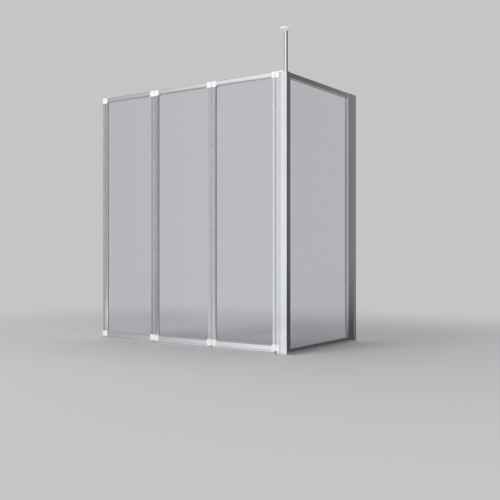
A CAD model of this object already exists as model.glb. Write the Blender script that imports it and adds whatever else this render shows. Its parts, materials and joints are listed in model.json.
import json
import math

import bmesh
import bpy
from bpy.props import FloatProperty, FloatVectorProperty, IntProperty, PointerProperty
from bpy.types import Operator, Panel, PropertyGroup
from mathutils import Matrix, Vector

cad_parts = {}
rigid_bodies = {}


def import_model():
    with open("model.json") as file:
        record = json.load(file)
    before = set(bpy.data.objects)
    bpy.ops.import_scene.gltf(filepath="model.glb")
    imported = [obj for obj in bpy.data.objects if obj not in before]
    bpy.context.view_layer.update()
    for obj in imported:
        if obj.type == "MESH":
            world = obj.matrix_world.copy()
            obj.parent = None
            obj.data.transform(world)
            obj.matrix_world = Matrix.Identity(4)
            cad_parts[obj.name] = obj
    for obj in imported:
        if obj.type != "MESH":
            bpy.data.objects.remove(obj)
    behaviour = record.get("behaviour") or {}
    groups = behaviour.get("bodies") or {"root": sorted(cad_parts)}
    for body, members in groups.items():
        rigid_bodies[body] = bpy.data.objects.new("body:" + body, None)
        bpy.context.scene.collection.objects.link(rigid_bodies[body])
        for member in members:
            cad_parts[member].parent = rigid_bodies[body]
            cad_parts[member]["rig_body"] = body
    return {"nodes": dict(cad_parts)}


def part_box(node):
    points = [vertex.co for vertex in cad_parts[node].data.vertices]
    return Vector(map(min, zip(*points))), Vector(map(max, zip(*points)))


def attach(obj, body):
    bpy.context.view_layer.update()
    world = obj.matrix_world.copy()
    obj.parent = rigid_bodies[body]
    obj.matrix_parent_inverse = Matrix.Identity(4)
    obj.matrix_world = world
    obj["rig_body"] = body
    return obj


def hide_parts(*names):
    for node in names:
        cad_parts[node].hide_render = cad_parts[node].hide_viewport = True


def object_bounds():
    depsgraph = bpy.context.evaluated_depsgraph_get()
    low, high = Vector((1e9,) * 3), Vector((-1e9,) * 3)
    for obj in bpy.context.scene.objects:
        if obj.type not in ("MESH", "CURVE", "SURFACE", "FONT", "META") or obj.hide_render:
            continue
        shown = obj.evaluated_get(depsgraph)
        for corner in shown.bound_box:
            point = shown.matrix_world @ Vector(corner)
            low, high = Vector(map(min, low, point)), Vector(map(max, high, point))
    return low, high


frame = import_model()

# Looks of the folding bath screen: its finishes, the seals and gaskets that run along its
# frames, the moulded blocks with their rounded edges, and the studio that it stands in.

bl_info = {
    "name": "Folding bath screen",
    "version": (1, 0, 0),
    "blender": (4, 5, 0),
    "location": "3D View > Sidebar > Bath Screen",
    "description": "Makes the seals, mouldings and finishes of a folding bath screen",
    "category": "Object",
}

MM = 0.001
CAD_BOX = [list(corner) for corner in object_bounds()]
LEAVES = ("leaf_1", "leaf_2", "leaf_3")

# Factors on X, Y and Z that stretch the die lines along an extrusion
UPRIGHT = (1, 1, 0.003)
ALONG_LEAVES = (0.003, 1, 1)
ALONG_SIDE = (1, 0.003, 1)

# Points of a copied node, and of a drawn strip, that are nearer than this become one, in metres
SAME_POINT = 0.000002
SAME_STRIP_POINT = 0.00001
# Angles between faces, in degrees: below the first they become one face, above the second their
# edge is rounded, and above the third an edge of a strip or a gasket stays sharp
FLAT_ANGLE = 0.6
ROUNDED_ANGLE = 32.0
SHARP_ANGLE = 35.0

# Bulb of the seal between two leaves, and where the strip that carries it starts, in millimetres
BULB_PLACE = (-1.6, 6.0)
BULB_RADIUS = 2.0
BULB_STRIP_START = 4.0


# ---- Sizes and colours ----

def length(name, description, default):
    """A size in metres, with millimetres in its default."""
    return FloatProperty(name=name, description=description, default=default * MM, min=0.0,
                         unit="LENGTH", precision=4)


def colour(name, description, default):
    """A colour that the user can change."""
    return FloatVectorProperty(name=name, description=description, default=default, size=3,
                               min=0.0, max=1.0, subtype="COLOR")


class ScreenSizes(PropertyGroup):
    """Sizes of the pieces that are made here."""
    glass_bite: length("Glass in the channel", "How far the glass reaches into the frames", 5.5)
    gasket_depth: length("Gasket in the channel", "How far the gasket reaches into the frames",
                         6.8)
    gasket_half: length("Gasket half width", "Half the width of the gasket in the channel", 3.45)
    gasket_lip: length("Gasket lip", "How far the lips lie on the glass", 1.6)
    gasket_corner: length("Gasket corner", "Radius of the gasket's corners", 3.0)
    seal_fins: IntProperty(name="Seal fins", description="Fins under each bottom seal",
                           default=5, min=1, max=9)
    moulding_edge: length("Moulding edge", "Edge radius of the white mouldings", 0.5)
    chrome_edge: length("Chrome edge", "Edge radius of the tube", 0.35)
    stile_edge: length("Stile edge", "Edge radius of the stile over the fixing channel", 0.6)


class ScreenColours(PropertyGroup):
    """Colours of the finishes and of the studio."""
    aluminium: colour("Aluminium", "Satin anodised post and side frame", (0.8, 0.81, 0.825))
    hinge: colour("Hinge profile", "Satin anodised profile beside the post",
                  (0.69, 0.7, 0.715))
    stiles: colour("Hinged uprights", "Satin anodised stiles at the joints of the leaves",
                   (0.59, 0.6, 0.615))
    rails: colour("Leaf rails", "Satin anodised rails of the leaves", (0.84, 0.85, 0.865))
    chrome: colour("Chrome", "Support tube", (0.86, 0.865, 0.87))
    steel: colour("Steel", "Pins and screws", (0.58, 0.585, 0.6))
    plastic: colour("White plastic", "Corner blocks, caps and flange", (0.92, 0.92, 0.905))
    gasket: colour("Gasket", "Gaskets round the panes", (0.5, 0.5, 0.515))
    rubber: colour("Grey rubber", "Seals between the leaves", (0.54, 0.545, 0.55))
    channel_rubber: colour("Dark rubber", "Strips on the fixing channel", (0.33, 0.335, 0.34))
    soft_seal: colour("Soft seal", "Seals under the leaves", (0.62, 0.63, 0.645))
    glass: colour("Glass", "Tint of the panes", (0.87, 0.855, 0.9))
    floor: colour("Floor", "Studio floor", (0.58, 0.58, 0.585))
    backdrop: colour("Backdrop", "Studio background", (0.565, 0.56, 0.56))


# ---- Node trees ----

def add(tree, kind, links=None, **settings):
    """Adds a node. Links gives its inputs, each a value or another node's output."""
    node = tree.nodes.new(kind)
    for key, value in settings.items():
        setattr(node, key, value)
    for key, value in (links or {}).items():
        if isinstance(value, bpy.types.NodeSocket):
            tree.links.new(value, node.inputs[key])
        else:
            node.inputs[key].default_value = value
    return node


def new_group(name, kind, inputs, outputs):
    """A node group with named sockets, and its input and output nodes."""
    tree = bpy.data.node_groups.new(name, kind)
    for where, sockets in (("INPUT", inputs), ("OUTPUT", outputs)):
        for label, socket_type, default in sockets:
            socket = tree.interface.new_socket(label, in_out=where, socket_type=socket_type)
            if default is not None:
                socket.default_value = default
    return tree, tree.nodes.new("NodeGroupInput").outputs, tree.nodes.new("NodeGroupOutput").inputs


def calc(tree, operation, first, second, **settings):
    """One step of arithmetic on numbers or on other nodes' outputs."""
    return add(tree, "ShaderNodeMath", {0: first, 1: second}, operation=operation,
               **settings).outputs[0]


def vector(tree, operation, *values, output="Vector"):
    """One step of arithmetic on vectors."""
    return add(tree, "ShaderNodeVectorMath", dict(enumerate(values)),
               operation=operation).outputs[output]


def mix(tree, factor, first, second, **settings):
    """The first colour where the factor is 0, the second where it is 1."""
    return add(tree, "ShaderNodeMix", {0: factor, 6: first, 7: second}, data_type="RGBA",
               **settings).outputs[2]


def spread(tree, value, low, high, to_low=0.0, to_high=1.0, curve="LINEAR"):
    """Stretches the part of a pattern between low and high over a new range."""
    return add(tree, "ShaderNodeMapRange",
               {"Value": value, "From Min": low, "From Max": high,
                "To Min": to_low, "To Max": to_high}, interpolation_type=curve).outputs["Result"]


def opaque(tone):
    """A colour with its alpha."""
    return tuple(tone) + (1.0,)


def drawn_lines_group():
    """Fine die lines along an extrusion, and slow changes of its anodised tone."""
    tree, inside, out = new_group(
        "Drawn lines", "ShaderNodeTree",
        [("Coordinates", "NodeSocketVector", None), ("Across", "NodeSocketVector", (1, 1, 0.01)),
         ("Line Spacing", "NodeSocketFloat", 0.0005)],
        [("Lines", "NodeSocketFloat", None), ("Bands", "NodeSocketFloat", None),
         ("Cloud", "NodeSocketFloat", None)])
    bands_to_a_line = 0.16
    across = vector(tree, "MULTIPLY", inside["Coordinates"], inside["Across"])
    per_metre = calc(tree, "DIVIDE", 1.0, inside["Line Spacing"])
    wider = calc(tree, "MULTIPLY", per_metre, bands_to_a_line)
    for label, scale, detail in (("Lines", per_metre, 4.0), ("Bands", wider, 2.0)):
        noise = add(tree, "ShaderNodeTexNoise",
                    {"Vector": across, "Scale": scale, "Detail": detail})
        tree.links.new(spread(tree, noise.outputs["Fac"], 0.3, 0.7), out[label])
    cloud = add(tree, "ShaderNodeTexNoise",
                {"Vector": inside["Coordinates"], "Scale": 4.5, "Detail": 3.0})
    tree.links.new(spread(tree, cloud.outputs["Fac"], 0.32, 0.68), out["Cloud"])
    return tree


def moulded_skin_group():
    """Fine grain of a moulded or polished skin, and the wider marks of its flow and its use."""
    tree, inside, out = new_group(
        "Moulded skin", "ShaderNodeTree",
        [("Coordinates", "NodeSocketVector", None), ("Grain Size", "NodeSocketFloat", 0.0005),
         ("Mark Size", "NodeSocketFloat", 0.02)],
        [("Grain", "NodeSocketFloat", None), ("Marks", "NodeSocketFloat", None)])
    for label, size, detail in (("Grain", "Grain Size", 2.0), ("Marks", "Mark Size", 5.0)):
        per_metre = calc(tree, "DIVIDE", 1.0, inside[size])
        noise = add(tree, "ShaderNodeTexNoise",
                    {"Vector": inside["Coordinates"], "Scale": per_metre, "Detail": detail})
        tree.links.new(spread(tree, noise.outputs["Fac"], 0.3, 0.7), out[label])
    return tree


def shared_group(name, build):
    """The named node group, built the first time that it is asked for."""
    return bpy.data.node_groups.get(name) or build()


def new_material(name):
    """An empty material, with its tree and its object coordinates."""
    material = bpy.data.materials.new(name)
    material.use_nodes = True
    tree = material.node_tree
    tree.nodes.clear()
    coordinates = add(tree, "ShaderNodeTexCoord").outputs["Object"]
    return material, tree, coordinates


def close_material(tree, surface):
    """Links the surface shader to the material's output."""
    tree.links.new(surface, add(tree, "ShaderNodeOutputMaterial").inputs["Surface"])


def two_tone(tree, mask, tone, low, high):
    """A colour that moves between low and high times tone where the mask goes from 0 to 1."""
    return mix(tree, mask, *(opaque(min(1.0, c * k) for c in tone) for k in (low, high)))


def drawn_metal(name, tone, stretch):
    """Satin anodised aluminium with faint die lines that run along the extrusion."""
    material, tree, coordinates = new_material(name)
    skin = add(tree, "ShaderNodeGroup", node_tree=shared_group("Drawn lines", drawn_lines_group))
    tree.links.new(coordinates, skin.inputs["Coordinates"])
    skin.inputs["Across"].default_value = stretch
    lines, bands, cloud = (skin.outputs[k] for k in ("Lines", "Bands", "Cloud"))
    mask = calc(tree, "MULTIPLY", bands, cloud)
    bump = add(tree, "ShaderNodeBump", {"Height": lines, "Distance": 0.00005, "Strength": 0.25})
    shader = add(tree, "ShaderNodeBsdfPrincipled", {
        "Metallic": 1.0,
        "Base Color": two_tone(tree, mask, tone, low=0.97, high=1.03),
        "Roughness": spread(tree, bands, 0.0, 1.0, to_low=0.18, to_high=0.23),
        "Normal": bump.outputs["Normal"]})
    close_material(tree, shader.outputs["BSDF"])
    return material


def skin_of(tree, coordinates, grain, marks):
    """Places the moulded skin in a material, with the sizes of its grain and its marks."""
    skin = add(tree, "ShaderNodeGroup",
               node_tree=shared_group("Moulded skin", moulded_skin_group))
    tree.links.new(coordinates, skin.inputs["Coordinates"])
    skin.inputs["Grain Size"].default_value = grain
    skin.inputs["Mark Size"].default_value = marks
    return skin.outputs


def skinned(name, tone, shades, roughness, grain, relief, metallic=0.0, settings=None):
    """A moulded, polished or rubber finish: fine grain in its normal, marks in its gloss."""
    material, tree, coordinates = new_material(name)
    skin = skin_of(tree, coordinates, grain, marks=0.02)
    bump = add(tree, "ShaderNodeBump",
               {"Height": skin["Grain"], "Strength": 0.4, "Distance": relief})
    shader = add(tree, "ShaderNodeBsdfPrincipled", {
        "Metallic": metallic,
        "Base Color": two_tone(tree, skin["Marks"], tone, *shades),
        "Roughness": spread(tree, skin["Marks"], 0.0, 1.0, *roughness),
        "Normal": bump.outputs["Normal"], **(settings or {})})
    close_material(tree, shader.outputs["BSDF"])
    return material


def clear_glass(name, tone):
    """Toughened glass: faint waves from the rollers, and wiped water marks in its gloss."""
    material, tree, coordinates = new_material(name)
    skin = skin_of(tree, coordinates, grain=0.12, marks=0.035)
    bump = add(tree, "ShaderNodeBump",
               {"Height": skin["Grain"], "Strength": 0.3, "Distance": 0.0002})
    shader = add(tree, "ShaderNodeBsdfPrincipled", {
        "Metallic": 0.0, "Transmission Weight": 1.0, "IOR": 1.5,
        "Base Color": two_tone(tree, skin["Marks"], tone, low=0.985, high=1.0),
        "Roughness": spread(tree, skin["Marks"], 0.45, 1.0, to_low=0.0, to_high=0.02),
        "Normal": bump.outputs["Normal"]})
    close_material(tree, shader.outputs["BSDF"])
    return material


def finish(name):
    """The finish with this name, made the first time that it is asked for."""
    tones = bpy.context.scene.bath_screen_colours
    dull_rubber = {"shades": (0.88, 1.1), "roughness": (0.5, 0.66), "grain": 0.0005,
                   "relief": 0.00004}
    makers = {
        "Satin aluminium, upright": (drawn_metal, tones.aluminium, {"stretch": UPRIGHT}),
        "Satin aluminium, hinge profile": (drawn_metal, tones.hinge, {"stretch": UPRIGHT}),
        "Satin aluminium, hinged uprights": (drawn_metal, tones.stiles, {"stretch": UPRIGHT}),
        "Satin aluminium, rails of the leaves":
            (drawn_metal, tones.rails, {"stretch": ALONG_LEAVES}),
        "Satin aluminium, rails of the side":
            (drawn_metal, tones.aluminium, {"stretch": ALONG_SIDE}),
        "White moulded plastic": (skinned, tones.plastic, {
            "shades": (0.975, 1.0), "roughness": (0.24, 0.34), "grain": 0.0006,
            "relief": 0.00002,
            "settings": {"IOR": 1.46, "Coat Weight": 0.15, "Coat Roughness": 0.08}}),
        "Polished chrome": (skinned, tones.chrome, {
            "shades": (0.96, 1.02), "roughness": (0.07, 0.14), "grain": 0.0008,
            "relief": 0.000004, "metallic": 1.0}),
        "Plain steel": (skinned, tones.steel, {
            "shades": (0.9, 1.05), "roughness": (0.3, 0.42), "grain": 0.0004,
            "relief": 0.00002, "metallic": 1.0}),
        "Pale gasket rubber": (skinned, tones.gasket, {
            "shades": (0.92, 1.06), "roughness": (0.42, 0.56), "grain": 0.0005,
            "relief": 0.00003}),
        "Grey seal rubber": (skinned, tones.rubber, dull_rubber),
        "Dark strip rubber": (skinned, tones.channel_rubber, dull_rubber),
        "Pale soft seal": (skinned, tones.soft_seal, {
            "shades": (0.94, 1.03), "roughness": (0.36, 0.5), "grain": 0.0007,
            "relief": 0.00003}),
        "Clear glass": (clear_glass, tones.glass, {}),
    }
    maker, tone, values = makers[name]
    return bpy.data.materials.get(name) or maker(name, tone, **values)


# ---- Pieces ----

def finish_nodes(names, finish_name):
    """Gives CAD nodes a finish."""
    material = finish(finish_name)
    for name in names:
        node = frame["nodes"][name]
        if not node.material_slots:
            node.data.materials.append(material)
        for slot in node.material_slots:
            slot.material = material


def body_of(name):
    """The body that a CAD node rides on."""
    return frame["nodes"][name]["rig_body"]


def profile_host(name, points, place):
    """An object with one face, the outline of a strip, put in place by a function."""
    mesh = bpy.data.meshes.new(name)
    mesh.from_pydata([place(*p) for p in points], [], [range(len(points))])
    host = bpy.data.objects.new(name, mesh)
    bpy.context.scene.collection.objects.link(host)
    return host


def run_tree(host, tree, values):
    """Runs a Geometry Nodes tree on an object and keeps the result as its plain mesh."""
    modifier = host.modifiers.new("Make", "NODES")
    modifier.node_group = tree
    for item in tree.interface.items_tree:
        if item.in_out == "INPUT" and item.name in values:
            modifier[item.identifier] = values[item.name]
    depsgraph = bpy.context.evaluated_depsgraph_get()
    mesh = bpy.data.meshes.new_from_object(host.evaluated_get(depsgraph))
    if not mesh.polygons:
        raise RuntimeError(f"{host.name} came out empty")
    host.modifiers.clear()
    work = bmesh.new()
    work.from_mesh(mesh)
    bmesh.ops.recalc_face_normals(work, faces=work.faces)
    work.to_mesh(mesh)
    work.free()
    mesh.materials.clear()
    mesh.materials.append(values["Finish"])
    mesh.name = host.name
    host.data = mesh


def shade(mesh):
    """Smooth faces, with sharp edges where they meet at more than the sharp angle."""
    mesh.polygons.foreach_set("use_smooth", [True] * len(mesh.polygons))
    mesh.set_sharp_from_angle(angle=math.radians(SHARP_ANGLE))


def stand_for(piece, node):
    """The piece takes the CAD node's place, body and finish slot."""
    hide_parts(node)
    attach(piece, body_of(node))


def pane_gasket_tree():
    """Sweeps the host's outline round a pane: it lies in X and Z, with rounded corners."""
    tree, inside, out = new_group(
        "Gasket round a pane", "GeometryNodeTree",
        [("Geometry", "NodeSocketGeometry", None), ("Width", "NodeSocketFloat", 0.3),
         ("Height", "NodeSocketFloat", 1.3), ("Corner Radius", "NodeSocketFloat", 0.003),
         ("Centre", "NodeSocketVector", None), ("Turn", "NodeSocketVector", None),
         ("Finish", "NodeSocketMaterial", None)],
        [("Geometry", "NodeSocketGeometry", None)])
    path = add(tree, "GeometryNodeCurvePrimitiveQuadrilateral",
               {"Width": inside["Width"], "Height": inside["Height"]})
    path = add(tree, "GeometryNodeFilletCurve",
               {"Curve": path.outputs[0], "Count": 6, "Radius": inside["Corner Radius"]},
               mode="POLY")
    path = add(tree, "GeometryNodeSetCurveNormal", {"Curve": path.outputs[0]}, mode="Z_UP")
    outline = add(tree, "GeometryNodeMeshToCurve", {"Mesh": inside["Geometry"]})
    swept = add(tree, "GeometryNodeCurveToMesh",
                {"Curve": path.outputs[0], "Profile Curve": outline.outputs[0]})
    placed = add(tree, "GeometryNodeTransform",
                 {"Geometry": swept.outputs[0], "Translation": inside["Centre"],
                  "Rotation": inside["Turn"]})
    real = add(tree, "GeometryNodeRealizeInstances", {"Geometry": placed.outputs[0]})
    done = add(tree, "GeometryNodeSetMaterial",
               {"Geometry": real.outputs[0], "Material": inside["Finish"]})
    tree.links.new(done.outputs[0], out["Geometry"])
    return tree


def strip_tree():
    """Draws the host's face out along a vector into a closed strip."""
    tree, inside, out = new_group(
        "Drawn strip", "GeometryNodeTree",
        [("Geometry", "NodeSocketGeometry", None), ("Run", "NodeSocketVector", None),
         ("Finish", "NodeSocketMaterial", None)],
        [("Geometry", "NodeSocketGeometry", None)])
    drawn = add(tree, "GeometryNodeExtrudeMesh",
                {"Mesh": inside["Geometry"], "Offset": inside["Run"], "Offset Scale": 1.0,
                 "Individual": False})
    start = add(tree, "GeometryNodeFlipFaces", {"Mesh": inside["Geometry"]})
    both = add(tree, "GeometryNodeJoinGeometry")
    tree.links.new(start.outputs[0], both.inputs[0])
    tree.links.new(drawn.outputs["Mesh"], both.inputs[0])
    whole = add(tree, "GeometryNodeMergeByDistance",
                {"Geometry": both.outputs[0], "Distance": SAME_STRIP_POINT})
    real = add(tree, "GeometryNodeRealizeInstances", {"Geometry": whole.outputs[0]})
    done = add(tree, "GeometryNodeSetMaterial",
               {"Geometry": real.outputs[0], "Material": inside["Finish"]})
    tree.links.new(done.outputs[0], out["Geometry"])
    return tree


def arc(cx, cy, radius, start, end, steps):
    """Points of an arc, its angles in degrees."""
    return [(cx + radius * math.cos(math.radians(start + (end - start) * k / steps)),
             cy + radius * math.sin(math.radians(start + (end - start) * k / steps)))
            for k in range(steps + 1)]


def gasket_outline(sizes):
    """Outline of the gasket: the frame's edge is at u = 0 and the glass lies along +u."""
    half, lip, depth = sizes.gasket_half, sizes.gasket_lip, sizes.gasket_depth
    half_glass, chamfer, groove = 1.5 * MM, 0.4 * MM, 0.25 * MM
    shoulder, tip = 0.75 * MM, 0.45 * MM
    side = [(-depth, half - chamfer), (-depth + chamfer, half),
            (-0.9 * MM, half), (-0.5 * MM, half - groove), (-0.1 * MM, half)]
    side += arc(lip * 0.32, half - shoulder, shoulder, 90, 30, 4)
    side += arc(lip - tip, half_glass + tip, tip, 40, -90, 5)
    root = -sizes.glass_bite + 0.1 * MM
    side += [(root, half_glass), (root, 0.0)]
    return side + [(u, -v) for u, v in reversed(side[:-1])]


def bottom_seal_outline(fins):
    """Half of the bottom seal from its foot in the carrier down to its fins, then mirrored."""
    side = [(4.0, 14.5), (4.0, 12.1), (2.0, 12.1), (2.0, 10.1), (7.6, 10.0), (7.8, 9.3),
            (7.3, 8.9), (4.0, 8.5), (3.4, 7.8), (3.6, 6.9), (6.8, 6.3)]
    side += arc(6.6, 5.5, 0.8, 75, -5, 4) + [(7.3, 1.5), (6.6, 0.9)]
    fins_width, root, tip_bevel = 12.0, 1.6, 0.35
    pitch = fins_width / fins
    fin = []
    for k in range(fins):
        y = fins_width / 2 - k * pitch
        fin += [(y, tip_bevel), (y - 0.12 * pitch, 0.0), (y - 0.5 * pitch, 0.0),
                (y - 0.62 * pitch, tip_bevel), (y - 0.75 * pitch, root), (y - 0.9 * pitch, root)]
    fin = fin[:-2]
    mirrored = [(-y, z) for y, z in reversed(side)]
    shift = -(fin[0][0] + fin[-1][0]) / 2
    fin = [(y + shift, z) for y, z in fin]
    return [(y * MM, z * MM) for y, z in side + fin + mirrored]


def edge_seal_outline():
    """Base strip of an edge seal, its bulb and the thin flap beside the bulb."""
    points = [(4.0, BULB_STRIP_START), (4.0, 12.0), (2.9, 12.0), (2.8, 10.6)]
    points += [(-1.2, 11.2), (-1.5, 10.9), (-1.3, 10.5), (2.7, 9.6), (2.8, 7.4), (0.6, 7.3)]
    points += arc(*BULB_PLACE, BULB_RADIUS, 40, 320, 16)
    points += [(0.6, 4.7), (2.8, 4.6), (2.9, BULB_STRIP_START)]
    return [(x * MM, y * MM) for x, y in points]


def drawn_strip(name, outline, place, run, finish_name):
    """A strip drawn out along a vector from its outline, which a function puts in place."""
    host = profile_host(name, outline, place)
    run_tree(host, shared_group("Drawn strip", strip_tree),
             {"Run": run, "Finish": finish(finish_name)})
    shade(host.data)
    return host


def finished_copy(name, node, finish_name, edge):
    """Puts a copy of a CAD node in its place, with its faces merged and its edges rounded."""
    mesh = frame["nodes"][node].data.copy()
    work = bmesh.new()
    work.from_mesh(mesh)
    bmesh.ops.remove_doubles(work, verts=work.verts, dist=SAME_POINT)
    bmesh.ops.dissolve_limit(work, angle_limit=math.radians(FLAT_ANGLE), verts=work.verts,
                             edges=work.edges, delimit=set())
    work.to_mesh(mesh)
    work.free()
    piece = bpy.data.objects.new(name, mesh)
    bpy.context.scene.collection.objects.link(piece)
    mesh.polygons.foreach_set("use_smooth", [True] * len(mesh.polygons))
    bevel = piece.modifiers.new("Rounded edges", "BEVEL")
    bevel.width, bevel.segments = edge, 2
    bevel.limit_method, bevel.angle_limit = "ANGLE", math.radians(ROUNDED_ANGLE)
    even = piece.modifiers.new("Even normals", "WEIGHTED_NORMAL")
    even.keep_sharp = True
    depsgraph = bpy.context.evaluated_depsgraph_get()
    rounded = bpy.data.meshes.new_from_object(piece.evaluated_get(depsgraph))
    piece.modifiers.clear()
    piece.data = rounded
    rounded.materials.clear()
    rounded.materials.append(finish(finish_name))
    stand_for(piece, node)


# ---- Studio ----

# Place in metres, turn in degrees, lens and sensor in millimetres, and sight in metres
CAMERA_PLACE = (2.0229, -3.2111, 0.5124)
CAMERA_TURN = (90.06, 0.0, 34.878)
CAMERA_LENS = 55.44
CAMERA_SENSOR = 36.0
CAMERA_SIGHT = 60.0
# The floor lies just under the foot of the post
FLOOR_MIDDLE = (-0.6, 0.35, -0.0005)
FLOOR_RADIUS = 14.0

# Name, place, what it looks at, width and height in metres, and radiance
LAMPS = (
    ("key_softbox", (-1.9, -4.6, 4.0), (-0.6, 0.2, 0.6), (2.6, 2.6), 6.5),
    ("fill_softbox", (2.8, -3.2, 0.8), (-0.2, 0.1, 0.7), (2.2, 1.0), 4.0),
    ("top_softbox", (-0.6, 0.3, 4.6), (-0.6, 0.35, 0.0), (3.4, 3.4), 1.5),
)
# Light from all round, as far as it falls on matt surfaces
FILL = (0.44, 0.44, 0.45, 1.0)
# What the floor gives back of the light, as far as it lights the screen from below
BOUNCE = (0.9, 0.9, 0.91, 1.0)

# What metal mirrors. On the floor before the screen, the front darkens towards the free end.
FRONT = (1.0, 1.01, 1.03, 1.0)
FRONT_LEFT = (0.45, 0.45, 0.46, 1.0)
RIGHT = (0.58, 0.58, 0.59, 1.0)
STRIP_LIGHT = (1.5, 1.5, 1.52, 1.0)
# Shares of the backdrop's colour
DARK_SIDE = 0.12
ELSEWHERE = 0.72
# Where metal mirrors them: azimuth in degrees, and the cosines of the angles from it at which
# the tone starts and is full
FRONT_ZONE = (244, 0.948, 0.989)
RIGHT_ZONE = (330, 0.94, 0.985)
STRIP_ZONE = (284, 0.97, 0.99)
DARK_ZONE = (25, 0.72, 0.86)

# Distances over the floor from the screen, in metres: where metal stops mirroring the matt floor,
# where the bright front is full and where it ends, and where the floor fades into the backdrop
MIRRORED_FLOOR = (0.0, 0.04)
FRONT_START = 0.03
FRONT_END = (0.3, 0.8)
FLOOR_FADE = (0.25, 2.4)


def lamp(scene, name, place, target, size, radiance):
    """A soft rectangular lamp with even radiance, unseen in the metal and through the glass."""
    data = bpy.data.lights.new(name, "AREA")
    data.shape = "RECTANGLE"
    data.size, data.size_y = size
    data.energy = radiance * math.pi * size[0] * size[1]
    thing = bpy.data.objects.new(name, data)
    thing.location = place
    thing.rotation_euler = (Vector(target) - Vector(place)).to_track_quat("-Z", "Y").to_euler()
    thing.visible_glossy = False
    thing.visible_transmission = False
    scene.collection.objects.link(thing)


def surround_group():
    """What metal sees round it: a bright front, a dimmer right, a strip light, a dark side."""
    tree, inside, out = new_group(
        "Studio surround", "ShaderNodeTree",
        [("Direction", "NodeSocketVector", None), ("Backdrop", "NodeSocketColor", None)],
        [("Color", "NodeSocketColor", None)])
    level = vector(tree, "MULTIPLY", inside["Direction"], (1.0, 1.0, 0.0))
    level = vector(tree, "NORMALIZE", level)

    def zone(azimuth, start, full):
        """How far a direction lies in a zone, from 0 to 1."""
        towards = (math.cos(math.radians(azimuth)), math.sin(math.radians(azimuth)), 0.0)
        cosine = vector(tree, "DOT_PRODUCT", level, towards, output="Value")
        return spread(tree, cosine, start, full, curve="SMOOTHSTEP")

    def shade_of(share):
        """A share of the backdrop's colour."""
        return mix(tree, 1.0, inside["Backdrop"], opaque((share,) * 3), blend_type="MULTIPLY")

    seen = mix(tree, zone(*FRONT_ZONE), shade_of(ELSEWHERE), FRONT)
    seen = mix(tree, zone(*RIGHT_ZONE), seen, RIGHT)
    seen = mix(tree, zone(*STRIP_ZONE), seen, STRIP_LIGHT)
    seen = mix(tree, zone(*DARK_ZONE), seen, shade_of(DARK_SIDE))
    tree.links.new(seen, out["Color"])
    return tree


def surround(tree, direction, tones):
    """The colour of the surround in a direction."""
    node = add(tree, "ShaderNodeGroup",
               node_tree=shared_group("Studio surround", surround_group))
    tree.links.new(direction, node.inputs["Direction"])
    node.inputs["Backdrop"].default_value = opaque(tones.backdrop)
    return node.outputs["Color"]


def light_paths(tree):
    """The kinds of ray, and 1 for a ray from the camera, straight or through the glass."""
    ray = add(tree, "ShaderNodeLightPath").outputs
    return ray, calc(tree, "MAXIMUM", ray["Is Camera Ray"], ray["Is Transmission Ray"])


def floor_material(tones):
    """Matt floor that fades into the backdrop, with other tones for metal and for bounced light."""
    material, tree, coordinates = new_material("Studio floor")
    ray, seen = light_paths(tree)
    (x0, y0, _), (x1, y1, _) = CAD_BOX
    half_width, half_depth = (x1 - x0) / 2, (y1 - y0) / 2
    offset = vector(tree, "SUBTRACT", coordinates, ((x0 + x1) / 2, (y0 + y1) / 2, 0.0))
    offset = vector(tree, "MULTIPLY", offset, (1.0, 1.0, 0.0))
    outside = vector(tree, "ABSOLUTE", offset)
    outside = vector(tree, "SUBTRACT", outside, (half_width, half_depth, 0.0))
    outside = vector(tree, "MAXIMUM", outside, (0.0, 0.0, 0.0))
    away = vector(tree, "LENGTH", outside, output="Value")

    grain = add(tree, "ShaderNodeTexNoise", {"Vector": coordinates, "Scale": 1.7, "Detail": 2.0})
    base = two_tone(tree, grain.outputs["Fac"], tones.floor, low=0.99, high=1.01)
    matt = add(tree, "ShaderNodeBsdfPrincipled", {
        "Base Color": mix(tree, ray["Is Diffuse Ray"], base, BOUNCE), "Roughness": 0.75})
    glow = add(tree, "ShaderNodeEmission", {"Color": opaque(tones.backdrop), "Strength": 1.0})
    fade = calc(tree, "MULTIPLY", seen, spread(tree, away, *FLOOR_FADE, curve="SMOOTHSTEP"))
    both = add(tree, "ShaderNodeMixShader", {0: fade, 1: matt.outputs[0], 2: glow.outputs[0]})

    across, depth, _ = add(tree, "ShaderNodeSeparateXYZ", {0: offset}).outputs
    ahead = spread(tree, depth, -half_depth, -half_depth - FRONT_START)
    ahead = calc(tree, "MULTIPLY", ahead, spread(tree, away, *FRONT_END, 1.0, 0.0))
    front = mix(tree, spread(tree, across, -half_width, half_width), FRONT_LEFT, FRONT)
    way = vector(tree, "ADD", offset, (0.0, half_depth, 0.0))
    facing = mix(tree, ahead, surround(tree, way, tones), front)
    sight = add(tree, "ShaderNodeEmission", {"Color": facing, "Strength": 1.0})
    mirrored = calc(tree, "SUBTRACT", ray["Is Glossy Ray"], seen, use_clamp=True)
    mirrored = calc(tree, "MULTIPLY", mirrored,
                    spread(tree, away, *MIRRORED_FLOOR, curve="SMOOTHSTEP"))
    whole = add(tree, "ShaderNodeMixShader",
                {0: mirrored, 1: both.outputs[0], 2: sight.outputs[0]})
    close_material(tree, whole.outputs[0])
    return material


def studio_world(scene, tones):
    """Pale backdrop for camera and glass, the surround for metal, and an even fill light."""
    world = bpy.data.worlds.new("Studio")
    world.use_nodes = True
    scene.world = world
    tree = world.node_tree
    tree.nodes.clear()
    ray, seen = light_paths(tree)
    way = add(tree, "ShaderNodeTexCoord").outputs["Generated"]
    light = mix(tree, ray["Is Glossy Ray"], FILL, surround(tree, way, tones))
    whole = mix(tree, seen, light, opaque(tones.backdrop))
    background = add(tree, "ShaderNodeBackground", {"Color": whole, "Strength": 1.0})
    tree.links.new(background.outputs[0],
                   add(tree, "ShaderNodeOutputWorld").inputs["Surface"])


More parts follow.
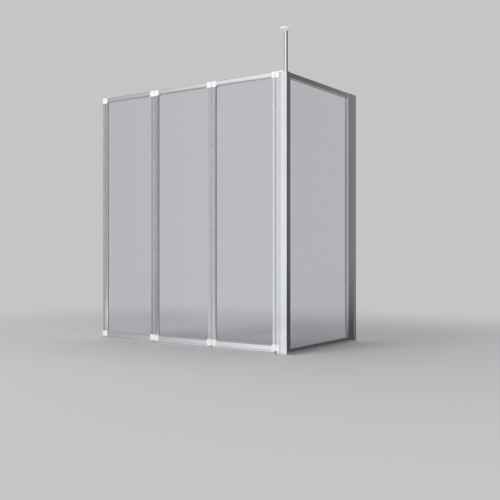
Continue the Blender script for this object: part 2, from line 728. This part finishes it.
def studio_camera(scene):
    """The camera of the main view."""
    camera = bpy.data.objects.new("camera", bpy.data.cameras.new("camera"))
    camera.location = CAMERA_PLACE
    camera.rotation_euler = [math.radians(angle) for angle in CAMERA_TURN]
    camera.data.lens, camera.data.sensor_width = CAMERA_LENS, CAMERA_SENSOR
    camera.data.clip_end = CAMERA_SIGHT
    scene.collection.objects.link(camera)
    scene.camera = camera


# ---- Operators ----

class StageOperator(Operator):
    """Makes the studio: floor, backdrop, lamps and camera"""
    bl_idname = "bath_screen.stage"
    bl_label = "Studio"

    def execute(self, context):
        tones = context.scene.bath_screen_colours
        work = bmesh.new()
        bmesh.ops.create_circle(work, cap_ends=True, radius=FLOOR_RADIUS, segments=96)
        mesh = bpy.data.meshes.new("studio_floor")
        work.to_mesh(mesh)
        work.free()
        mesh.transform(Matrix.Translation(FLOOR_MIDDLE))
        mesh.materials.append(floor_material(tones))
        floor = bpy.data.objects.new("studio_floor", mesh)
        context.scene.collection.objects.link(floor)
        studio_world(context.scene, tones)
        for values in LAMPS:
            lamp(context.scene, *values)
        studio_camera(context.scene)
        context.scene.view_settings.view_transform = "Standard"
        return {"FINISHED"}


class FramesOperator(Operator):
    """Finishes the aluminium extrusions, each with die lines along its own run"""
    bl_idname = "bath_screen.frames"
    bl_label = "Aluminium frames"

    def execute(self, context):
        finish_nodes(["corner_post", "side_near_stile", "fixing_channel",
                      "leaf_1_near_stile", "leaf_3_far_stile"], "Satin aluminium, upright")
        finished_copy("side_far_stile_edged", "side_far_stile", "Satin aluminium, upright",
                      context.scene.bath_screen_sizes.stile_edge)
        finish_nodes(["hinge_profile"], "Satin aluminium, hinge profile")
        finish_nodes(["leaf_1_far_stile", "leaf_2_near_stile", "leaf_2_far_stile",
                      "leaf_3_near_stile"], "Satin aluminium, hinged uprights")
        finish_nodes([f"{leaf}_{part}" for leaf in LEAVES
                      for part in ("top_rail", "bottom_rail", "seal_carrier")],
                     "Satin aluminium, rails of the leaves")
        finish_nodes(["side_top_rail", "side_bottom_rail"], "Satin aluminium, rails of the side")
        return {"FINISHED"}


class GlassOperator(Operator):
    """Finishes the panes"""
    bl_idname = "bath_screen.glass"
    bl_label = "Glass panes"

    def execute(self, context):
        finish_nodes([f"{leaf}_glass" for leaf in LEAVES] + ["side_glass"], "Clear glass")
        return {"FINISHED"}


class GasketsOperator(Operator):
    """Makes the lipped gasket round each pane"""
    bl_idname = "bath_screen.gaskets"
    bl_label = "Glazing gaskets"

    def execute(self, context):
        sizes = context.scene.bath_screen_sizes
        tree = shared_group("Gasket round a pane", pane_gasket_tree)
        panes = [(f"{leaf}_glass", f"{leaf}_glazing_gasket", 0) for leaf in LEAVES]
        for glass, node, run in panes + [("side_glass", "side_gasket", 1)]:
            low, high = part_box(glass)
            span = high - low
            host = profile_host(f"{node}_lipped", gasket_outline(sizes), lambda u, v: (-u, v, 0))
            run_tree(host, tree, {
                "Width": span[run] - 2 * sizes.glass_bite,
                "Height": span.z - 2 * sizes.glass_bite,
                "Corner Radius": sizes.gasket_corner,
                "Centre": tuple((low + high) / 2),
                "Turn": (math.pi / 2, 0.0, math.pi / 2 if run else 0.0),
                "Finish": finish("Pale gasket rubber")})
            shade(host.data)
            stand_for(host, node)
        return {"FINISHED"}


class SealsOperator(Operator):
    """Makes the finned and the bulb seals of the leaves, and finishes the channel's strips"""
    bl_idname = "bath_screen.seals"
    bl_label = "Seals"

    def execute(self, context):
        fins = context.scene.bath_screen_sizes.seal_fins
        reach = (BULB_RADIUS - BULB_PLACE[0]) * MM
        start = BULB_STRIP_START * MM
        for leaf in LEAVES:
            low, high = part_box(f"{leaf}_bottom_seal")
            middle = (low.y + high.y) / 2
            seal = drawn_strip(f"{leaf}_finned_seal", bottom_seal_outline(fins),
                               lambda y, z: (low.x, middle + y, z),
                               (high.x - low.x, 0.0, 0.0), "Pale soft seal")
            stand_for(seal, f"{leaf}_bottom_seal")
            low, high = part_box(f"{leaf}_edge_seal")
            line = high.x - reach
            seal = drawn_strip(f"{leaf}_bulb_seal", edge_seal_outline(),
                               lambda x, y: (line - x, low.y - start + y, low.z),
                               (0.0, 0.0, high.z - low.z), "Grey seal rubber")
            stand_for(seal, f"{leaf}_edge_seal")
        finish_nodes(["fixing_channel_seal"], "Dark strip rubber")
        return {"FINISHED"}


class MouldingsOperator(Operator):
    """Makes the white corner blocks, caps and covers, with rounded edges"""
    bl_idname = "bath_screen.mouldings"
    bl_label = "White mouldings"

    def execute(self, context):
        edge = context.scene.bath_screen_sizes.moulding_edge
        nodes = ["post_top_cap", "post_foot_plug", "post_screw_covers", "hinge_block_top",
                 "hinge_block_bottom", "leaf_3_end_blocks"]
        for end in ("top", "bottom"):
            nodes += [f"{leaf}_near_block_{end}" for leaf in LEAVES]
            nodes += [f"{leaf}_far_block_{end}" for leaf in LEAVES[:2]]
        for node in nodes:
            finished_copy(f"{node}_moulded", node, "White moulded plastic", edge)
        return {"FINISHED"}


class FastenersOperator(Operator):
    """Finishes the hinge pins and the screws"""
    bl_idname = "bath_screen.fasteners"
    bl_label = "Pins and screws"

    def execute(self, context):
        finish_nodes(["hinge_pins_1", "hinge_pins_2", "hinge_pins_3", "post_screws",
                      "side_frame_screws"], "Plain steel")
        return {"FINISHED"}


class SupportOperator(Operator):
    """Makes the polished support tube and the white ceiling flange, with rounded edges"""
    bl_idname = "bath_screen.support"
    bl_label = "Ceiling support"

    def execute(self, context):
        sizes = context.scene.bath_screen_sizes
        finished_copy("ceiling_tube_polished", "ceiling_tube", "Polished chrome",
                      sizes.chrome_edge)
        finished_copy("ceiling_flange_moulded", "ceiling_flange", "White moulded plastic",
                      sizes.moulding_edge)
        return {"FINISHED"}


class ScreenPanel(Panel):
    """Lists the screen's sizes, colours and pieces"""
    bl_idname = "VIEW3D_PT_bath_screen"
    bl_label = "Bath screen"
    bl_space_type = "VIEW_3D"
    bl_region_type = "UI"
    bl_category = "Bath Screen"

    def draw(self, context):
        for group in (context.scene.bath_screen_sizes, context.scene.bath_screen_colours):
            column = self.layout.column()
            for key in group.__annotations__:
                column.prop(group, key)
        for operator in OPERATORS:
            self.layout.operator(operator.bl_idname)


OPERATORS = (FramesOperator, GlassOperator, GasketsOperator, SealsOperator, MouldingsOperator,
             FastenersOperator, SupportOperator, StageOperator)
CLASSES = (ScreenSizes, ScreenColours, *OPERATORS, ScreenPanel)


def register():
    for cls in CLASSES:
        bpy.utils.register_class(cls)
    bpy.types.Scene.bath_screen_sizes = PointerProperty(type=ScreenSizes)
    bpy.types.Scene.bath_screen_colours = PointerProperty(type=ScreenColours)


def unregister():
    del bpy.types.Scene.bath_screen_sizes
    del bpy.types.Scene.bath_screen_colours
    for cls in reversed(CLASSES):
        bpy.utils.unregister_class(cls)


def main():
    register()
    for operator in OPERATORS:
        group, name = operator.bl_idname.split(".")
        getattr(getattr(bpy.ops, group), name)()


if __name__ == "__main__":
    main()
